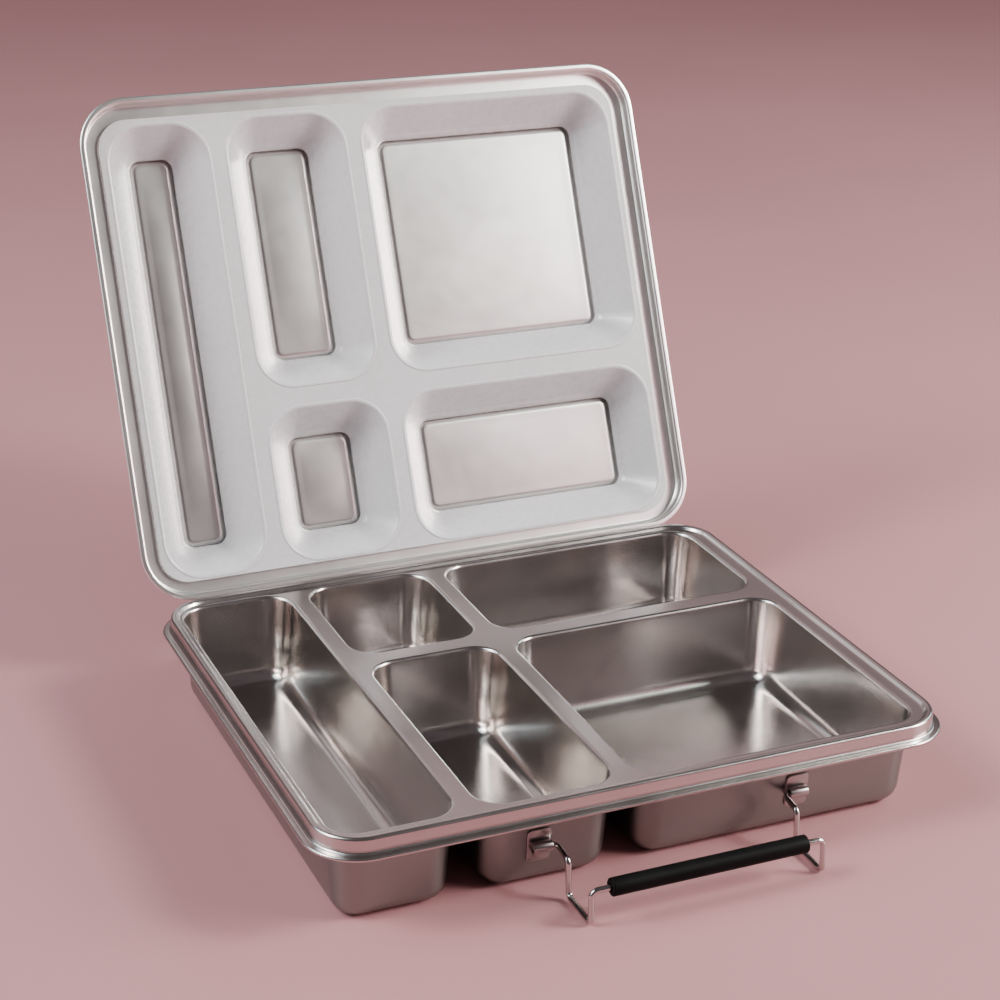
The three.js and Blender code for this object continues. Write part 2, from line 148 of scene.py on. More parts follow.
def filleted(corners, steps):
    """A line through (x, y, radius) corners, with each inner corner rounded to its radius."""
    line = [corners[0][:2]]
    for before, corner, after in zip(corners, corners[1:], corners[2:]):
        here = np.array(corner[:2], float)
        back = np.array(before[:2], float) - here
        on = np.array(after[:2], float) - here
        back /= np.linalg.norm(back)
        on /= np.linalg.norm(on)
        half = math.acos(max(-1.0, min(1.0, float(back @ on)))) / 2
        tangent = corner[2] / math.tan(half)
        middle = (back + on) / np.linalg.norm(back + on)
        centre = here + middle * corner[2] / math.sin(half)
        start = here + back * tangent - centre
        end = here + on * tangent - centre
        first = math.atan2(start[1], start[0])
        sweep = (math.atan2(end[1], end[0]) - first + math.pi) % (2 * math.pi) - math.pi
        for i in range(steps + 1):
            angle = first + sweep * i / steps
            line.append((centre[0] + corner[2] * math.cos(angle), centre[1] + corner[2] * math.sin(angle)))
    line.append(corners[-1][:2])
    return line


def closed_shape(corners, steps):
    """A closed outline through (x, y, radius) corners, started half way along one side."""
    (x0, y0, _), (x1, y1, _) = corners[-1], corners[0]
    start = ((x0 + x1) / 2, (y0 + y1) / 2, 0)
    return filleted([start, *corners, start], steps)[:-1]


def beside(line, distance):
    """The line moved to its left by distance, point for point."""
    points = np.array(line, float)
    steps = np.diff(points, axis=0)
    steps /= np.linalg.norm(steps, axis=1)[:, None]
    along = np.vstack([steps[:1], steps[:-1] + steps[1:], steps[-1:]])
    along /= np.linalg.norm(along, axis=1)[:, None]
    turn = np.concatenate([[1.0], np.einsum("ij,ij->i", along[1:-1], steps[1:]), [1.0]])
    moved = points + np.column_stack([-along[:, 1], along[:, 0]]) * (distance / turn)[:, None]
    return [tuple(p) for p in moved]


def outline(rect, radius, inset, corner_steps, spacing):
    """A rectangle with round corners, anticlockwise, moved in by inset, with points about spacing apart."""
    r = max(radius - inset, 0.4)
    left, right = rect["left"] + inset + r, rect["right"] - inset - r
    front, back = rect["front"] + inset + r, rect["back"] - inset - r
    across = max(2, round((rect["right"] - rect["left"]) / spacing))
    along = max(2, round((rect["back"] - rect["front"]) / spacing))
    quarters = (  # a corner's centre, the angle it starts at, where the side after it ends, its points
        (right, front, -90, (right + r, back), along),
        (right, back, 0, (left, back + r), across),
        (left, back, 90, (left - r, front), along),
        (left, front, 180, (right, front - r), across),
    )
    points = []
    for x, y, start, ahead, sides in quarters:
        corner = arc(x, y, r, start, start + 90, corner_steps)
        points += corner
        here = np.array(corner[-1])
        for i in range(1, sides):
            points.append(tuple(here + (np.array(ahead) - here) * i / sides))
    return points


def hollow_outline(rect, hollow, inset, corner_steps=12, spacing=7):
    """The outline of a hollow at an inset. A pocket's corners tighten a little less than its inset."""
    growth = hollow.get("corner_growth", 0.0) * max(inset, 0.0)
    return outline(rect, hollow["corner"] + growth, inset, corner_steps, spacing)


def hollows(limits):
    """The five hollows, as rectangles between the outer limits and the webs."""
    left, right, front, back = (limits[k] for k in ("left", "right", "front", "back"))

    def rect(a, b, c, d):
        return {"left": a, "right": b, "front": c, "back": d}

    return {
        "long": rect(left, WEBS["long_left"], front, back),
        "mid_front": rect(WEBS["long_right"], WEBS["mid_left"], front, WEBS["front"]),
        "mid_back": rect(WEBS["long_right"], WEBS["mid_left"], WEBS["back"], back),
        "wide_front": rect(WEBS["mid_right"], right, front, WEBS["front"]),
        "wide_back": rect(WEBS["mid_right"], right, WEBS["back"], back),
    }


LIP_STEPS = 8
WALL_STEPS = 5
FOOT_STEPS = 9


def pressed_face(hollow, behind):
    """One face of a pressed hollow as (inset, depth) from its lip to its floor, behind the visible face."""
    lean = math.radians(hollow["lean"])
    lip, foot = hollow["lip"], hollow["foot"]
    sweep = math.pi / 2 - lean
    face = []
    for i in range(LIP_STEPS + 1):
        angle = sweep * i / LIP_STEPS
        face.append(((lip - behind) * math.sin(angle), lip - (lip - behind) * math.cos(angle)))
    wall = (hollow["depth"] - foot - lip + (lip + foot) * math.sin(lean)) / math.cos(lean)
    inset = (lip + foot) * math.cos(lean) + wall * math.sin(lean)
    depth = hollow["depth"] - foot
    foot_line = []
    for i in range(FOOT_STEPS + 1):
        angle = lean + sweep * i / FOOT_STEPS
        radius = foot + behind
        foot_line.append((inset - radius * math.cos(angle), depth + radius * math.sin(angle)))
    start, end = np.array(face[-1]), np.array(foot_line[0])
    wall_line = [tuple(start + (end - start) * i / WALL_STEPS) for i in range(1, WALL_STEPS)]
    return face + wall_line + foot_line


def wall_inset(hollow, depth, behind=0.0):
    """How far in the straight wall of a pressed hollow stands at a depth, behind the visible face."""
    lean, lip = math.radians(hollow["lean"]), hollow["lip"]
    top = lip * (math.cos(lean) + (math.sin(lean) - 1) * math.tan(lean))
    return top + depth * math.tan(lean) - behind / math.cos(lean)


# ---- Meshes --------------------------------------------------------------------------------------
class Skin:
    """A mesh drawn ring by ring, in millimetres."""

    def __init__(self):
        self.points = []
        self.faces = []
        self.outside = 0.0  # 1 while drawing the side of a sheet that lay against the die; the steel makes that side rougher and darkens it with painted shade
        self.sides = []

    def ring(self, points, z):
        """Adds a level ring of (x, y) points and gives back its point numbers."""
        return self.loop([(x, y, z) for x, y in points])

    def loop(self, points):
        first = len(self.points)
        self.points += [tuple(p) for p in points]
        self.sides += [self.outside] * len(points)
        return list(range(first, first + len(points)))

    def band(self, a, b):
        for i in range(len(a)):
            j = (i + 1) % len(a)
            self.faces.append((a[i], a[j], b[j], b[i]))

    def bands(self, rings, closed=False):
        for a, b in zip(rings, rings[1:] + (rings[:1] if closed else [])):
            self.band(a, b)

    def capped(self, rings):
        """Bands between the rings, with a flat face closing each end."""
        self.bands(rings)
        self.faces.append(tuple(rings[0]))
        self.faces.append(tuple(rings[-1]))

    def fill(self, *loops):
        """Fills the flat area inside the first loop and outside the others."""
        numbers = [n for loop in loops for n in loop]
        shape = [[Vector(self.points[n]) for n in loop] for loop in loops]
        self.faces += [tuple(numbers[i] for i in triangle) for triangle in tessellate_polygon(shape)]

    def mesh_object(self, name, place, material, sharp_degrees=40):
        mesh = bpy.data.meshes.new(name)
        mesh.from_pydata(self.points, [], self.faces)
        mesh.attributes.new("outside", "FLOAT", "POINT").data.foreach_set("value", self.sides)
        return finished(name, mesh, place, material, sharp_degrees)


def finished(name, mesh, place, material, sharp_degrees=40):
    """Faces turned outwards, shaded smooth except at sharp edges, and moved into the row frame."""
    work = bmesh.new()
    work.from_mesh(mesh)
    many_sided = [face for face in work.faces if len(face.verts) > 4]
    bmesh.ops.triangulate(work, faces=many_sided, ngon_method="BEAUTY")
    bmesh.ops.recalc_face_normals(work, faces=work.faces)
    for face in work.faces:
        face.smooth = True
    limit = math.radians(sharp_degrees)
    for edge in work.edges:
        if len(edge.link_faces) == 2 and edge.calc_face_angle(0) > limit:
            edge.smooth = False
    work.to_mesh(mesh)
    work.free()
    mesh.transform(place)
    mesh.materials.append(material)
    made = bpy.data.objects.new(name, mesh)
    bpy.context.scene.collection.objects.link(made)
    return made


def rim_rings(skin, section):
    """The rings of a sheet edge of constant section, (outwards, z), carried round the ridge's outline."""
    return [skin.ring(outline(RIDGE, RIDGE_RADIUS, -out, 16, 8), z) for out, z in section]


GUARD = 0.08  # a narrow flat ring round each hollow keeps the wide flat web evenly shaded
FLOOR_SHARES = (0.08, 0.2, 0.36, 0.56, 0.78, 1.0)


def hollow_rings(skin, rect, hollow, face, to_z, crown):
    """The rings of one face of a hollow, from the web to the middle of its slightly crowned floor."""

    def ring(inset, depth):
        return skin.ring(hollow_outline(rect, hollow, inset), to_z(depth))

    rings = [ring(-GUARD, face[0][1])] + [ring(*point) for point in face]
    inset, depth = face[-1]
    across = (rect["right"] - rect["left"]) / 2 - inset
    along = (rect["back"] - rect["front"]) / 2 - inset
    middle = ((rect["left"] + rect["right"]) / 2, (rect["front"] + rect["back"]) / 2)
    for share in FLOOR_SHARES:
        points = hollow_outline(rect, hollow, inset + (min(across, along) - 0.6) * share)
        heights = []
        for x, y in points:
            u, v = (x - middle[0]) / across, (y - middle[1]) / along
            heights.append(to_z(depth - crown * (1 - u * u) * (1 - v * v)))
        rings.append(skin.loop([(x, y, z) for (x, y), z in zip(points, heights)]))
    skin.bands(rings)
    skin.faces.append(tuple(rings[-1]))
    return rings[0]


# ---- Materials -----------------------------------------------------------------------------------
class Nodes:
    """A short way to write a node material: add(type, inputs, settings) and link by output."""

    def __init__(self, name):
        self.material = bpy.data.materials.new(name)
        self.material.use_nodes = True
        self.tree = self.material.node_tree
        self.tree.nodes.clear()
        self.output = self.tree.nodes.new("ShaderNodeOutputMaterial")

    def add(self, kind, inputs=(), **settings):
        node = self.tree.nodes.new("ShaderNode" + kind)
        for key, value in settings.items():
            setattr(node, key, value)
        for key, value in dict(inputs).items():
            if isinstance(value, bpy.types.NodeSocket):
                self.tree.links.new(value, node.inputs[key])
            else:
                node.inputs[key].default_value = value
        return node

    def finish(self, shader):
        self.tree.links.new(shader.outputs[0], self.output.inputs["Surface"])
        return self.material

    def grain(self, scale, detail=2.0, stretch=(1, 1, 1)):
        """Noise over the object's own coordinates, in features per metre."""
        place = self.add("TexCoord").outputs["Object"]
        mapped = self.add("Mapping", {"Vector": place, "Scale": stretch}).outputs[0]
        return self.add("TexNoise", {"Vector": mapped, "Scale": scale, "Detail": detail}).outputs["Fac"]

    def spread(self, value, low, high):
        """A noise value stretched from low to high."""
        inputs = {"Value": value, "From Min": 0.3, "From Max": 0.7, "To Min": low, "To Max": high}
        return self.add("MapRange", inputs, clamp=True).outputs[0]

    def tint(self, value, dark, light):
        ramp = self.add("ValToRGB", {"Fac": value})
        ramp.color_ramp.elements[0].position = 0.3
        ramp.color_ramp.elements[1].position = 0.7
        ramp.color_ramp.elements[0].color = (*dark, 1)
        ramp.color_ramp.elements[1].color = (*light, 1)
        return ramp.outputs["Color"]

    def bump(self, height, strength, distance, under=None):
        inputs = {"Height": height, "Strength": strength, "Distance": distance}
        if under is not None:
            inputs["Normal"] = under
        return self.add("Bump", inputs).outputs["Normal"]


def steel(name, dark, light, gloss, grain_strength, dent, outside_painted_shade=(1.0, 1.0, 1.0), outside_rough=0.0):
    """Satin stainless sheet: slow drift in tone and gloss, with a fine grain. Its outside may be rougher,
    and darker in colour as painted shade.
    """
    n = Nodes(name)
    slow = n.grain(28, 3)
    dents = n.grain(24, 1)
    handled = n.grain(170, 4)
    fine = n.grain(2600, 2)
    drift, wear = n.spread(slow, *gloss), n.spread(handled, -0.01, 0.01)
    roughness = n.add("Math", {0: drift, 1: wear}, operation="ADD").outputs[0]
    # painted shade: on the sheet's outside the base colour is scaled down per channel, standing in for the
    # shaded table that side reflects
    outside = n.add("Attribute", attribute_name="outside").outputs["Fac"]
    inputs = {"Value": outside, "To Min": 1.0}
    tone = n.add("CombineXYZ", {
        axis: n.add("MapRange", dict(inputs, **{"To Max": share})).outputs[0]
        for axis, share in zip("XYZ", outside_painted_shade)
    }).outputs[0]
    duller = n.add("MapRange", {"Value": outside, "To Min": 0.0, "To Max": outside_rough}).outputs[0]
    colour = n.add("VectorMath", {0: n.tint(slow, dark, light), 1: tone}, operation="MULTIPLY").outputs[0]
    shader = n.add("BsdfPrincipled", {
        "Base Color": colour,
        "Metallic": 1.0,
        "Roughness": n.add("Math", {0: roughness, 1: duller}, operation="ADD").outputs[0],
        "Normal": n.bump(fine, grain_strength, 0.00006, n.bump(dents, 1.0, dent)),
    })
    return n.finish(shader)


def silicone():
    """Pale blue-grey moulded silicone: matte, a little translucent, with a fine bloom."""
    n = Nodes("lid_silicone")
    cloud = n.grain(45, 3)
    fine = n.grain(1900, 3)
    shader = n.add("BsdfPrincipled", {
        "Base Color": n.tint(cloud, (0.60, 0.598, 0.622), (0.63, 0.628, 0.652)),
        "Roughness": n.spread(n.grain(320, 3), 0.25, 0.31),
        "Normal": n.bump(fine, 0.12, 0.00008),
        "Subsurface Weight": 0.08,
        "Subsurface Radius": (0.002, 0.002, 0.0025),
        "Specular IOR Level": 0.5,
        "Coat Weight": 0.6,
        "Coat Roughness": 0.16,
    })
    return n.finish(shader)


def rubber():
    """Black rubber tube: satin, with a fine extruded grain along its length."""
    n = Nodes("grip_rubber")
    along = n.grain(900, 3, stretch=(0.06, 1, 1))
    fine = n.grain(2400, 3)
    shader = n.add("BsdfPrincipled", {
        "Base Color": n.tint(n.grain(60, 3), (0.002, 0.002, 0.002), (0.004, 0.004, 0.004)),
        "Roughness": n.spread(along, 0.44, 0.60),
        "Normal": n.bump(fine, 0.25, 0.00010, n.bump(along, 0.2, 0.0001)),
        "Specular IOR Level": 0.07,
    })
    return n.finish(shader)


TRAY_STEEL = steel(
    "tray_steel", (0.50, 0.465, 0.45), (0.54, 0.505, 0.49), (0.19, 0.24), 0.012, 0.00006,
    # painted shade: the tray's outside is darkened and tinted towards tan for the shaded table its walls
    # reflect; it is also made rougher
    outside_painted_shade=(0.47, 0.54, 0.53), outside_rough=0.12,
)
LID_STEEL = steel("lid_steel", (0.90, 0.88, 0.86), (0.93, 0.91, 0.89), (0.28, 0.31), 0.03, 0.00006)
FITTING_STEEL = steel("fitting_steel", (0.34, 0.32, 0.31), (0.39, 0.37, 0.36), (0.24, 0.34), 0.08, 0.00005)
WIRE_STEEL = steel("wire_steel", (0.50, 0.475, 0.46), (0.56, 0.535, 0.52), (0.12, 0.18), 0.04, 0.00002)
SILICONE = silicone()
RUBBER = rubber()


# ---- Tray ----------------------------------------------------------------------------------------
def tray():
    skin = Skin()
    roll_z = FLANGE_TOP - ROLL["radius"]
    top = filleted([
        (WEB_START, 0, 0),
        (-3.4, 0, 0.6),
        (-2.5, RIDGE_HEIGHT, 1.2),
        (0, RIDGE_HEIGHT, 1.15),
        (0.15, FLANGE_TOP, 1.0),
        (ROLL["out"], FLANGE_TOP, 0),
    ], 7)
    under = beside(top[:-1], -SHEET)
    roll = arc(ROLL["out"], roll_z, ROLL["radius"], 90, -140, 14)[1:]
    skin_rings = rim_rings(skin, top + roll + under[::-1])
    skin.bands(skin_rings)
    visible, hidden = pressed_face(WELL, 0), pressed_face(WELL, SHEET)
    crown = 0.2
    rects = hollows(WELL_LIMITS).values()
    mouths = [hollow_rings(skin, rect, WELL, visible, lambda depth: -depth, crown) for rect in rects]
    skin.outside = 1.0
    backs = [hollow_rings(skin, rect, WELL, hidden, lambda depth: -depth, crown) for rect in rects]
    skin.fill(skin_rings[0], *mouths)
    skin.fill(skin_rings[-1], *backs)
    made = skin.mesh_object("tray", BASE_PLACE, TRAY_STEEL)
    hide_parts("base_tray")
    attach(made, "base")


# ---- Lid -----------------------------------------------------------------------------------------
def lift(depth):
    """The closed height of a depth in a lid pocket."""
    return GAP + depth


def panelled_face(behind, below):
    """A face of a lid pocket: round lip, leaning wall, a groove at its foot and a raised floor panel."""
    groove, floor_depth = PANEL["groove"] + below, PANEL["floor"] + below
    return filleted([
        (0, behind, 0),
        (wall_inset(POCKET, behind, behind), behind, POCKET["lip"] - behind),
        (wall_inset(POCKET, groove, behind), groove, 0.7 + below * 0.6),
        (PANEL["slope_start"] + below * 0.4, groove, 0.8),
        (PANEL["slope_end"] + below * 0.4, floor_depth, 3.2),
        (PANEL["slope_end"] + 2.6, floor_depth, 0),
    ], 6)


def lid_shell():
    skin = Skin()
    roll_z = FLANGE_TOP + GAP + ROLL["radius"]
    start = -4.2
    inner = filleted([
        (start, LID_BOTTOM, 0),
        (0.6, LID_BOTTOM, 1.1),
        (0.6, -3.7, 0.7),
        (1.4, roll_z - ROLL["radius"], 0.4),
        (ROLL["out"], roll_z - ROLL["radius"], 0),
    ], 7)
    roll = arc(ROLL["out"], roll_z, ROLL["radius"], -90, 110, 14)[1:-1]
    outer = filleted([
        (*arc(ROLL["out"], roll_z, ROLL["radius"], 110, 110, 1)[0], 0),
        (1.4, -2.6, 0.4),
        (1.4, LID_TOP, 1.9),
        (start, LID_TOP, 0),
    ], 9)
    rings = rim_rings(skin, inner + roll + outer)
    skin.bands(rings)
    inside = panelled_face(STEEL_UNDERSIDE, 0.0)
    outside = panelled_face(STEEL_UNDERSIDE + SHEET, SHEET)
    rects = hollows(POCKET_LIMITS).values()
    crown = 0.25
    mouths = [hollow_rings(skin, rect, POCKET, inside, lift, crown) for rect in rects]
    backs = [hollow_rings(skin, rect, POCKET, outside, lift, crown) for rect in rects]
    skin.fill(rings[0], *mouths)
    skin.fill(rings[-1], *backs)
    made = skin.mesh_object("lid_pressing", LID_PLACE, LID_STEEL)
    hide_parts("lid_shell")
    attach(made, "lid")


def lid_seal():
    """The moulded liner: a raised bead round every pocket, and a round lower lip short of the floor."""
    skin = Skin()
    thickness, end, swell = LINER["thickness"], LINER["end_depth"], LINER["swell"]
    lean = math.radians(POCKET["lean"])
    rect = dict(RIDGE, back=RIDGE["back"] + LINER["margin"] - LINER["back_margin"])

    def border(inset, z):
        return skin.ring(outline(rect, RIDGE_RADIUS, LINER["margin"] + inset, 16, 8), z)

    edge = filleted([
        (0.25, GAP, 0),
        (0.0, GAP, 0.2),
        (0.0, GAP + thickness, 0.2),
        (0.25, GAP + thickness, 0),
    ], 4)
    edge_rings = [border(inset, z) for inset, z in edge]
    skin.bands(edge_rings)
    mouths, backs = [], []
    front_face = filleted([
        (BEAD["start"], 0, 0),
        (BEAD["start"] + 0.25, 0, 0.25),
        (BEAD["start"] + 0.55, -BEAD["rise"], 0.25),
        (wall_inset(POCKET, -BEAD["rise"]), -BEAD["rise"], BEAD["radius"]),
        (wall_inset(POCKET, end - 2.2), end - 2.2, 1.2),
        (wall_inset(POCKET, end) + swell / math.cos(lean), end, 0),
    ], 6)
    back_face = filleted([
        (-GUARD, thickness, 0),
        (wall_inset(POCKET, thickness, thickness), thickness, POCKET["lip"] - thickness),
        (wall_inset(POCKET, end, thickness), end, 0),
    ], 6)
    tip = (thickness + swell) / 2
    centre = (
        wall_inset(POCKET, end) + (swell - tip) * math.cos(lean),
        end - (swell - tip) * math.sin(lean),
    )
    start = -POCKET["lean"]
    lip = arc(*centre, tip, start + 12, start + 180, 10)
    front_face, back_face = front_face[:-1], back_face[:-1]
    for pocket in hollows(POCKET_LIMITS).values():
        line = front_face + lip + back_face[::-1]
        rings = [skin.ring(hollow_outline(pocket, POCKET, inset), lift(depth)) for inset, depth in line]
        skin.bands(rings)
        mouths.append(rings[0])
        backs.append(rings[-1])
    skin.fill(edge_rings[0], *mouths)
    skin.fill(edge_rings[-1], *backs)
    made = skin.mesh_object("lid_liner", LID_PLACE, SILICONE)
    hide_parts("lid_seal")
    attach(made, "lid")


# ---- Small solids --------------------------------------------------------------------------------
INSIDE = 0.03  # solids that merge stay this far inside each other, so no two faces share a plane
EASED = 0.1  # the rounding of a strap's cut edges


def prism(line, start, end, edge):
    """A closed (y, z) outline pushed along x from start to end, its end edges rounded by edge."""
    skin = Skin()
    closed = list(line)
    area = sum(a[0] * b[1] - b[0] * a[1] for a, b in zip(closed, closed[1:] + closed[:1]))
    inward = 1 if area > 0 else -1
    looped = [closed[-1]] + closed + [closed[0]]
    rings = []
    steps = 3
    ends = [(start, 1), (end, -1)]
    for x, way in ends:
        stations = []
        for i in range(steps + 1):
            angle = math.pi / 2 * i / steps
            stations.append((edge * (1 - math.sin(angle)), x + way * edge * (1 - math.cos(angle))))
        if way < 0:
            stations.reverse()
        for inset, place in stations:
            moved = beside(looped, inward * inset)[1:-1]
            rings.append(skin.loop([(place, y, z) for y, z in moved]))
    skin.capped(rings)
    return skin


def joined_skins(name, skins, place, material, cuts=()):
    """Solids merged into one, with others cut from it."""
    objects = []
    for skin in list(skins) + list(cuts):
        mesh = bpy.data.meshes.new(name)
        mesh.from_pydata(skin.points, [], skin.faces)
        objects.append(finished(name, mesh, Matrix.Identity(4), material))
    whole = objects[0]
    for i, other in enumerate(objects[1:], 1):
        modifier = whole.modifiers.new("boolean", "BOOLEAN")
        modifier.operation = "UNION" if i < len(skins) else "DIFFERENCE"
        modifier.solver = "EXACT"
        modifier.object = other
    graph = bpy.context.evaluated_depsgraph_get()
    mesh = bpy.data.meshes.new_from_object(whole.evaluated_get(graph))
    for used in objects:
        bpy.data.objects.remove(used)
    mesh.materials.clear()
    return finished(name, mesh, place, material, 35)


def rod(radius, start, end, y, z, edge, sides=40):
    return prism(arc(y, z, radius, 0, 360, sides)[:-1], start, end, edge)


def wall_y(side, z):
    """Where the wells' outer wall is at a height, at the back (side 1) or the front (side -1)."""
    face = pressed_face(WELL, SHEET)
    inset, depth = face[LIP_STEPS]
    inset += (-z - depth) * math.tan(math.radians(WELL["lean"]))
    return WELL_LIMITS["back"] - inset if side > 0 else WELL_LIMITS["front"] + inset


def base_leaf(name, centre):
    """A strap welded up the wells' back wall, bent back under the flange and rolled round the pin."""
    top = HINGE.z - KNUCKLE["radius"]
    low = top - LEAF["thickness"]
    bottom = -LEAF["drop"]
    half = LEAF["width"] / 2
    slot = KNUCKLE["middle"] / 2 + GAP
    strap = closed_shape([
        (wall_y(1, bottom) + GAP, bottom, 0.2),
        (wall_y(1, bottom) + GAP + LEAF["thickness"], bottom, 0.2),
        (wall_y(1, low) + GAP + LEAF["thickness"], low, 0.5),
        (HINGE.y - 2.8, low, 0.2),
        (HINGE.y - 2.8, top, 0.2),
        (wall_y(1, top) + GAP, top, 0.9),
    ], 4)
    stop = closed_shape([
        (HINGE.y - 4.2, low + INSIDE, 0.2),
        (HINGE.y + 1.1, low + INSIDE, 0.2),
        (HINGE.y + 1.1, top - INSIDE, 0.2),
        (HINGE.y + 0.4, top + 0.4, 0.2),
        (HINGE.y - 0.8, top + 0.4, 0.2),
        (HINGE.y - 1.6, top - INSIDE, 0.2),
        (HINGE.y - 4.2, top - INSIDE, 0.2),
    ], 4)
    pieces = [prism(strap, centre - half, centre + half, EASED)]
    for start, end in ((-half, -slot), (slot, half)):
        start, end = centre + start, centre + end
        pieces.append(prism(stop, start + INSIDE, end - INSIDE, EASED))
        pieces.append(rod(KNUCKLE["radius"], start, end, HINGE.y, HINGE.z, EASED))
    bore = [rod(KNUCKLE["bore"], centre - half - 1, centre + half + 1, HINGE.y, HINGE.z, 0.0)]
    return joined_skins(name, pieces, BASE_PLACE, FITTING_STEEL, bore)


def lid_leaf(name, centre):
    """A strap welded on the lid's back rim, bent down behind it and rolled round the pin's middle."""
    bottom = LID_TOP + GAP
    top = bottom + LEAF["thickness"]
    outer = HINGE.y + KNUCKLE["radius"]
    inner = outer - LEAF["thickness"]
    half = LEAF["width"] / 2
    middle = KNUCKLE["middle"] / 2
    low = HINGE.z + KNUCKLE["radius"] + 0.5
    strap = closed_shape([
        (inner, low, 0.2),
        (outer, low, 0.2),
        (outer, top, 1.1),
        (outer - LEAF["tab"], top, 0.2),
        (outer - LEAF["tab"], bottom, 0.2),
        (inner, bottom, 0.4),
    ], 5)
    neck = closed_shape([
        (inner + INSIDE, HINGE.z, 0.2),
        (outer - INSIDE, HINGE.z, 0.2),
        (outer - INSIDE, low + 1.5, 0.2),
        (inner + INSIDE, low + 1.5, 0.2),
    ], 4)
    pieces = [
        prism(strap, centre - half, centre + half, EASED),
        prism(neck, centre - middle, centre + middle, EASED),
        rod(KNUCKLE["radius"], centre - middle, centre + middle, HINGE.y, HINGE.z, EASED),
    ]
    bore = [rod(KNUCKLE["bore"], centre - half, centre + half, HINGE.y, HINGE.z, 0.0)]
    return joined_skins(name, pieces, LID_PLACE, FITTING_STEEL, bore)


def turned(profile, place_along, sides=40):
    """A solid of revolution about x from (along, radius) points that begin and end on the axis."""
    skin = Skin()
    y, z = place_along
    rings = []
    for along, radius in profile[1:-1]:
        rings.append(skin.loop([(along, a, b) for a, b in arc(y, z, radius, 0, 360, sides)[:-1]]))
    skin.capped(rings)
    return skin


def hinge_pin(name, centre):
    half = LEAF["width"] / 2 + GAP
    head, thick = 1.3, 0.6
    eased = 0.25
    side = [(half, KNUCKLE["pin"]), (half, head - 0.1), (half + 0.1, head)]
    for a in np.linspace(0, 1.57, 4):
        side.append((half + thick - eased + eased * math.sin(a), head - eased + eased * math.cos(a)))
    profile = [(centre + x, r) for x, r in side]
    mirrored = [(centre - x, r) for x, r in side[::-1]]
    line = [(0, 0)] + mirrored + profile + [(0, 0)]
    skin = turned(line, (HINGE.y, HINGE.z))
    return skin.mesh_object(name, BASE_PLACE, WIRE_STEEL)


def bail_bracket(name, side):
    """A small plate on the wells' front wall with a barrel rolled across it for the bail's pin."""
    start, end = sorted((PIVOT.x + side * BRACKET["inner"], PIVOT.x + side * BRACKET["outer"]))
    top, bottom = BRACKET["top"], BRACKET["bottom"]

    def on_wall(z, away):
        return wall_y(-1, z) - away

    skin = Skin()
    corner, edge, seam = 1.6, 0.25, 0.06
    face = {"left": start, "right": end, "front": bottom, "back": top}
    stations = [(0.0, seam)]
    for angle in np.linspace(0, math.pi / 2, 5):
        away = seam + BRACKET["plate"] - edge * (1 - math.sin(angle))
        stations.append((edge * (1 - math.cos(angle)), away))
    rings = []
    for inset, away in stations:
        points = outline(face, corner, inset, 6, 4)
        rings.append(skin.loop([(x, on_wall(z, away), z) for x, z in points]))
    skin.capped(rings)
    inner_end = PIVOT.x + side * (BRACKET["inner"] + 0.3)
    outer_end = PIVOT.x + side * (BRACKET["outer"] - 1.3)
    barrel = rod(BRACKET["barrel"], *sorted((inner_end, outer_end)), PIVOT.y, PIVOT.z, 0.25)
    bore = rod(BRACKET["bore"], start - 1, end + 1, PIVOT.y, PIVOT.z, 0.0)
    return joined_skins(name, [skin, barrel], BASE_PLACE, FITTING_STEEL, [bore])


def fittings():
    for side, sign in (("left", -1), ("right", 1)):
        centre = sign * LEAF["centre"]
        for made, node, body in (
            (base_leaf("tray_hinge_strap_" + side, centre), "hinge_base_leaf_" + side, "base"),
            (lid_leaf("lid_hinge_strap_" + side, centre), "hinge_lid_leaf_" + side, "lid"),
            (hinge_pin("hinge_rivet_" + side, centre), "hinge_pin_" + side, "base"),
            (bail_bracket("bail_barrel_" + side, sign), "bail_bracket_" + side, "base"),
        ):
            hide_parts(node)
            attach(made, body)


# ---- Bail ----------------------------------------------------------------------------------------
def bent_route(corners, bend, steps):
    """A wire's centre line through corner points, every corner bent to one radius."""
    route = [corners[0]]
    for before, corner, after in zip(corners, corners[1:], corners[2:]):
        back, on = (before - corner).normalized(), (after - corner).normalized()
        half = back.angle(on) / 2
        tangent = bend / math.tan(half)
        centre = corner + (back + on).normalized() * (bend / math.sin(half))
        start, end = corner + back * tangent - centre, corner + on * tangent - centre
        axis, sweep = start.cross(end).normalized(), start.angle(end)
        for i in range(steps + 1):
            route.append(centre + Matrix.Rotation(sweep * i / steps, 3, axis) @ start)
    route.append(corners[-1])
    return route


def split_long(route, longest):
    """The same line with points added on stretches longer than longest."""
    line = [route[0]]
    for a, b in zip(route, route[1:]):
        count = max(1, math.ceil((b - a).length / longest))
        line += [a.lerp(b, i / count) for i in range(1, count + 1)]
    return line


def swept(route, radius, sides):
    """A round wire along a line, its two ends rounded off."""
    skin = Skin()
    along = [(b - a).normalized() for a, b in zip(route, route[1:])]
    tangents = [along[0]] + [(a + b).normalized() for a, b in zip(along, along[1:])] + [along[-1]]
    side = tangents[0].orthogonal().normalized()
    rings = []
    for i, (point, tangent) in enumerate(zip(route, tangents)):
        side = (side - tangent * side.dot(tangent)).normalized()
        other = tangent.cross(side)
        stations = [(0.0, radius)]
        if i in (0, len(route) - 1):
            way = 1 if i == 0 else -1
            cap = []
            for a in np.linspace(0, math.pi / 2, 5):
                cap.append((way * radius * 0.5 * (1 - math.cos(a)), radius * (0.45 + 0.55 * math.sin(a))))
            stations = cap if i == 0 else cap[::-1]
        for shift, r in stations:
            centre = point + tangent * shift
            ring = []
            for k in range(sides):
                angle = 2 * math.pi * k / sides
                ring.append(centre + side * (r * math.cos(angle)) + other * (r * math.sin(angle)))
            rings.append(skin.loop(ring))
    skin.capped(rings)
    return skin


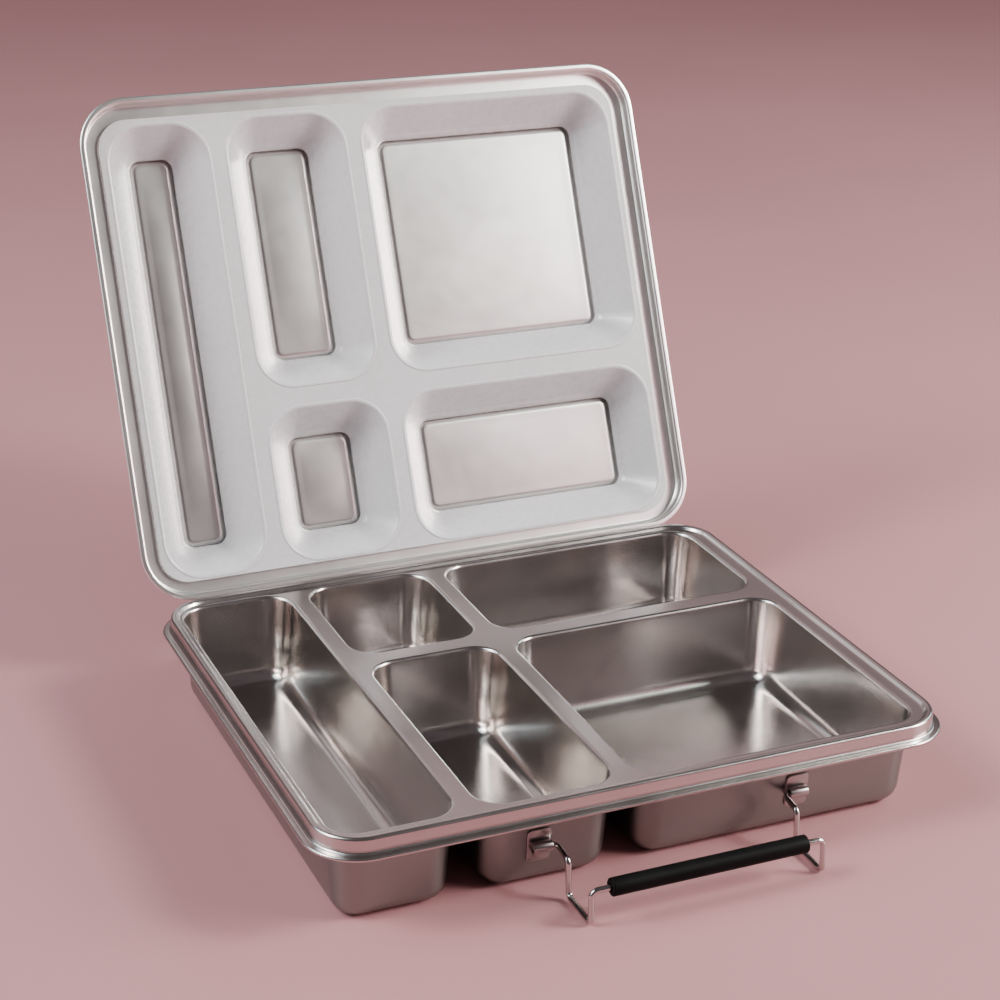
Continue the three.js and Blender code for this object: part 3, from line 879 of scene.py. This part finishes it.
def bail_wire():
    def arm(side):
        return [PIVOT + Vector((side * BAIL["half_span"], -forward, -down)) for forward, down in ARM]

    def pin_end(side):
        return PIVOT + Vector((side * BAIL["pin_end"], 0, 0))

    corners = [pin_end(-1), *arm(-1), *arm(1)[::-1], pin_end(1)]
    route = split_long(bent_route(corners, BAIL["bend"], 9), 6)
    made = swept(route, BAIL["wire"], 24).mesh_object("bail_rod", BASE_PLACE, WIRE_STEEL)
    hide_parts("bail_wire")
    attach(made, "bail")


def grip_sleeve():
    """A rubber tube with rolled ends on the bail's cross bar."""
    skin = Skin()
    forward, down = ARM[-1]
    y, z = PIVOT.y - forward, PIVOT.z - down
    half, edge = GRIP["length"] / 2, GRIP["edge"]
    side = arc(half - edge, GRIP["radius"] - edge, edge, 90, 0, 6)
    inner = arc(half - 0.3, GRIP["bore"] + 0.3, 0.3, 0, -90, 4)
    right = side + inner
    left = [(-x, r) for x, r in right[::-1]]
    inside = [(x, GRIP["bore"]) for x in np.linspace(half - 0.3, 0.3 - half, 9)[1:-1]]
    outside = [(x, GRIP["radius"]) for x in np.linspace(edge - half, half - edge, 15)[1:-1]]
    rings = []
    for x, r in outside + right + inside + left:
        rings.append(skin.loop([(PIVOT.x + x, a, b) for a, b in arc(y, z, r, 0, 360, 48)[:-1]]))
    skin.bands(rings, closed=True)
    made = skin.mesh_object("rubber_grip", BASE_PLACE, RUBBER)
    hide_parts("grip_sleeve")
    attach(made, "bail")


# ---- Studio --------------------------------------------------------------------------------------
def floor():
    """A wide pale dusty-pink table."""
    n = Nodes("floor")
    shader = n.add("BsdfPrincipled", {
        "Base Color": n.tint(n.grain(5, 2), (0.43, 0.201, 0.213), (0.455, 0.213, 0.226)),
        "Roughness": 0.6,
        "Normal": n.bump(n.grain(900, 3), 0.05, 0.0002),
    })
    material = n.finish(shader)
    half = 30.0
    mesh = bpy.data.meshes.new("floor")
    corners = [(-half, -half, 0), (half, -half, 0), (half, half, 0), (-half, half, 0)]
    mesh.from_pydata(corners, [], [(0, 1, 2, 3)])
    mesh.materials.append(material)
    made = bpy.data.objects.new("floor", mesh)
    bpy.context.scene.collection.objects.link(made)


def softbox(name, azimuth, elevation, size, power, colour, distance=1.6):
    """A square light aimed at the object. Azimuth 0 is in front of it and 90 on its right, in degrees."""
    around, above = math.radians(azimuth), math.radians(elevation)
    level = math.cos(above)
    towards = Vector((math.sin(around) * level, -math.cos(around) * level, math.sin(above)))
    data = bpy.data.lights.new(name, "AREA")
    data.shape = "SQUARE"
    data.size = size
    data.energy = power
    data.color = colour
    light = bpy.data.objects.new(name, data)
    bpy.context.scene.collection.objects.link(light)
    light.location = Vector((0, 0.02, 0.06)) + towards * distance
    light.rotation_mode = "QUATERNION"
    light.rotation_quaternion = (-towards).to_track_quat("-Z", "Y")


def backdrop():
    """Lights the table far behind the object from above."""
    data = bpy.data.lights.new("backdrop", "AREA")
    data.shape = "RECTANGLE"
    data.size, data.size_y = 4.0, 2.0
    data.energy = 15.1
    data.color = (1.0, 0.754, 0.76)
    light = bpy.data.objects.new("backdrop", data)
    light.location = (0.3, 2.8, 2.0)
    bpy.context.scene.collection.objects.link(light)


def studio():
    floor()
    softbox("key", 57, 36, 0.3, 18.0, (0.82, 1.0, 0.92))
    softbox("right_window", 60, 24, 0.8, 36.7, (1.0, 0.82, 0.80))
    softbox("low_right", 45, 14, 0.8, 2.0, (1.0, 0.5, 0.62))
    softbox("left_lamp", -90, 42, 0.45, 16.6, (1.0, 0.885, 0.81))
    softbox("left_window", -97, 42, 1.3, 21.3, (0.73, 0.916, 1.0))
    softbox("left_low", -90, 22, 0.9, 3.9, (1.0, 0.98, 0.99))
    softbox("right_fill", 100, 30, 0.8, 5.5, (0.82, 0.98, 1.0))
    backdrop()
    world = bpy.data.worlds.new("studio")
    bpy.context.scene.world = world
    world.use_nodes = True
    background = world.node_tree.nodes["Background"]
    background.inputs["Color"].default_value = (1.0, 0.84, 0.885, 1)
    background.inputs["Strength"].default_value = 0.113


make_camera()
studio()
tray()
lid_shell()
lid_seal()
fittings()
bail_wire()
grip_sleeve()
